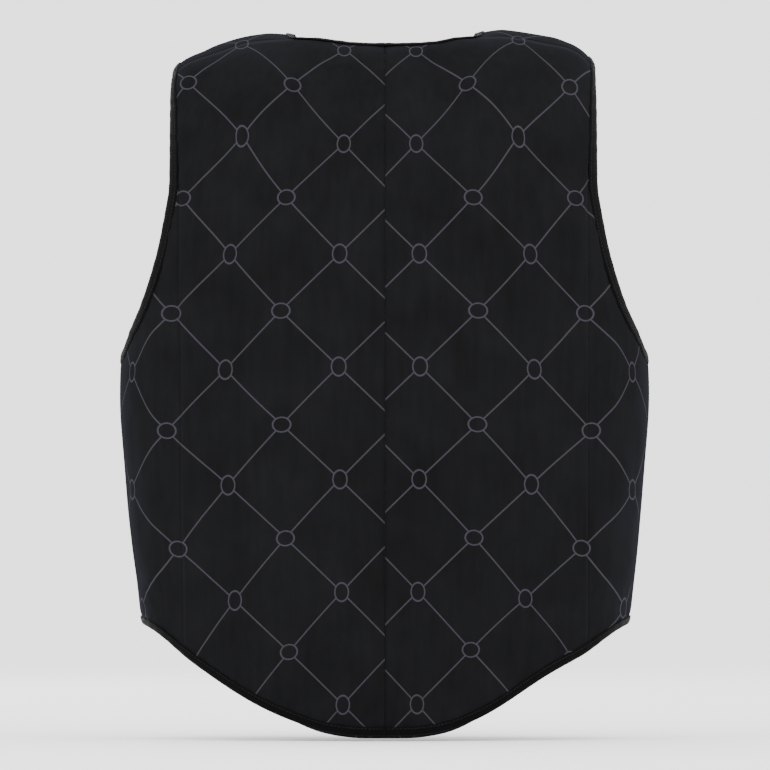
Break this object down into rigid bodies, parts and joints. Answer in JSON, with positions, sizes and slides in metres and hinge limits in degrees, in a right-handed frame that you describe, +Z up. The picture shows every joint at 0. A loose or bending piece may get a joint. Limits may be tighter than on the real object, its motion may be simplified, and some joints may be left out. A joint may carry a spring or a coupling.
{
  "type": "body protector vest",
  "caption": "Zip-fronted foam body protector vest with a long curved back, printed fabric cover, mesh lining and bound neck, arm and hem edges.",
  "frame": {"origin": "on the wearer's mid plane, half way between back and front, level with the foot of the back hem; the centre of the space that holds the torso", "axes": "+Z up the torso, +Y towards the wearer's back, +X towards the wearer's left"},
  "size_m": [0.438, 0.241, 0.5872],
  "materials": {
    "printed_cover": "near-black stretch-woven polyester with a fine grey line print",
    "mesh_lining": "black spacer mesh",
    "foam": "closed-cell foam, satin skin",
    "edge_binding": "black folded binding, ribbed and slightly shiny",
    "woven_tape": "black woven tape",
    "label": "plain grey satin label with nothing on it",
    "zip_guard": "smooth black knit",
    "zip_tape": "black woven zip tape",
    "zip_teeth": "moulded black acetal",
    "zip_metal": "black enamel, worn a little at the edges"
  },
  "bodies": {
    "back": {"arm_binding_left": "edge_binding", "arm_binding_right": "edge_binding", "back_cover_left": "printed_cover", "back_cover_right": "printed_cover", "back_foam_inner_lower_left": "foam", "back_foam_inner_lower_right": "foam", "back_foam_inner_upper_left": "foam", "back_foam_inner_upper_right": "foam", "back_foam_outer_lower_left": "foam", "back_foam_outer_lower_right": "foam", "back_foam_outer_upper_left": "foam", "back_foam_outer_upper_right": "foam", "back_lining": "mesh_lining", "back_seam_tape": "woven_tape", "blank_label": "label", "corner_foam_back_left": "foam", "corner_foam_back_right": "foam", "hanging_loop": "woven_tape", "hem_binding_left": "edge_binding", "hem_binding_right": "edge_binding", "neck_binding_left": "edge_binding", "neck_binding_right": "edge_binding", "shoulder_cover_left": "printed_cover", "shoulder_cover_right": "printed_cover", "shoulder_foam_left": "foam", "shoulder_foam_right": "foam", "shoulder_lining_left": "mesh_lining", "shoulder_lining_right": "mesh_lining", "side_cover_left": "printed_cover", "side_cover_right": "printed_cover", "side_foam_left": "foam", "side_foam_right": "foam", "side_lining_left": "mesh_lining", "side_lining_right": "mesh_lining", "spine_foam_lower": "foam", "spine_foam_middle": "foam", "spine_foam_upper": "foam"},
    "front_left": {"corner_foam_front_left": "foam", "front_cover_left": "printed_cover", "front_foam_inner_lower_left": "foam", "front_foam_inner_upper_left": "foam", "front_foam_outer_lower_left": "foam", "front_foam_outer_upper_left": "foam", "front_lining_left": "mesh_lining", "zip_insertion_pin": "zip_teeth", "zip_tape_left": "zip_tape", "zip_teeth_left": "zip_teeth"},
    "front_right": {"corner_foam_front_right": "foam", "front_cover_right": "printed_cover", "front_foam_inner_lower_right": "foam", "front_foam_inner_upper_right": "foam", "front_foam_outer_lower_right": "foam", "front_foam_outer_upper_right": "foam", "front_lining_right": "mesh_lining", "zip_guard": "zip_guard", "zip_retainer_box": "zip_teeth", "zip_tape_right": "zip_tape", "zip_teeth_right": "zip_teeth"},
    "zip_slider": {"zip_slider": "zip_metal"},
    "zip_puller": {"zip_puller": "zip_metal"}
  },
  "joints": [
    {"name": "front_left_opens", "type": "hinge", "parent": "back", "child": "front_left", "pos_m": [0.2135, 0, 0.2], "axis": [-0.1998, 0, 0.9798], "range_deg": [0, 60], "deforming": ["arm_binding_left", "hem_binding_left", "neck_binding_left", "shoulder_cover_left", "shoulder_foam_left", "shoulder_lining_left", "side_cover_left", "side_foam_left", "side_lining_left"]},
    {"name": "front_right_opens", "type": "hinge", "parent": "back", "child": "front_right", "pos_m": [-0.2135, 0, 0.2], "axis": [-0.1998, 0, -0.9798], "range_deg": [0, 60], "deforming": ["arm_binding_right", "hem_binding_right", "neck_binding_right", "shoulder_cover_right", "shoulder_foam_right", "shoulder_lining_right", "side_cover_right", "side_foam_right", "side_lining_right"]},
    {"name": "zip_slides", "type": "slide", "parent": "front_right", "child": "zip_slider", "axis": [0, 0, 1], "range_m": [-0.357, 0], "deforming": ["zip_teeth_left", "zip_teeth_right"]},
    {"name": "puller_swings", "type": "hinge", "parent": "zip_slider", "child": "zip_puller", "pos_m": [0, -0.1207, 0.4746], "axis": [-1, 0, 0], "range_deg": [0, 165]}
  ]
}
